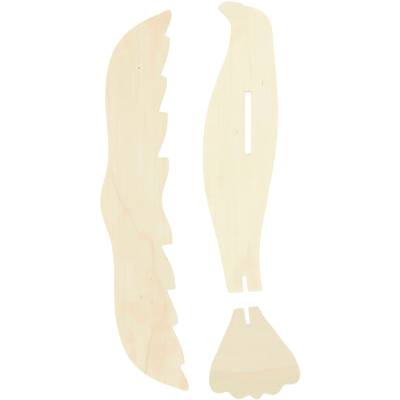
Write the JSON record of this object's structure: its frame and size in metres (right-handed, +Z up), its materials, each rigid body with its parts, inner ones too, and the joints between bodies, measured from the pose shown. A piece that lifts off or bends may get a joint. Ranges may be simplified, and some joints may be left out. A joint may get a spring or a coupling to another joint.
{
  "type": "hand glider kit",
  "caption": "Bird-shaped hand glider as flat plywood pieces laid out loose: a fuselage with a wing slot and tail notch, a one-piece wing and a notched fan tail.",
  "frame": {"origin": "centre of the layout's outline, on the surface that the pieces lie on", "axes": "+Z up out of the sheet, +Y towards the head, +X from the beak's side to the back of the fuselage, with the wing on the -X side"},
  "size_m": [0.134, 0.2668, 0.003],
  "materials": {
    "fuselage_veneer": "bare sanded plywood, palest veneer, grain along the body",
    "wing_veneer": "bare sanded plywood with pinkish patches, a growth-ring line and a pin knot, grain along the span",
    "tail_veneer": "bare sanded plywood, slightly greyer veneer, grain across the tail"
  },
  "bodies": {
    "fuselage": {"fuselage": "fuselage_veneer"},
    "wing": {"wing": "wing_veneer"},
    "tail": {"tail": "tail_veneer"}
  },
  "joints": [
    {"name": "wing_lift", "type": "slide", "parent": "fuselage", "child": "wing", "axis": [0, 0, 1], "range_m": [0, 0.13]},
    {"name": "tail_lift", "type": "slide", "parent": "fuselage", "child": "tail", "axis": [0, 0, 1], "range_m": [0, 0.032]}
  ]
}
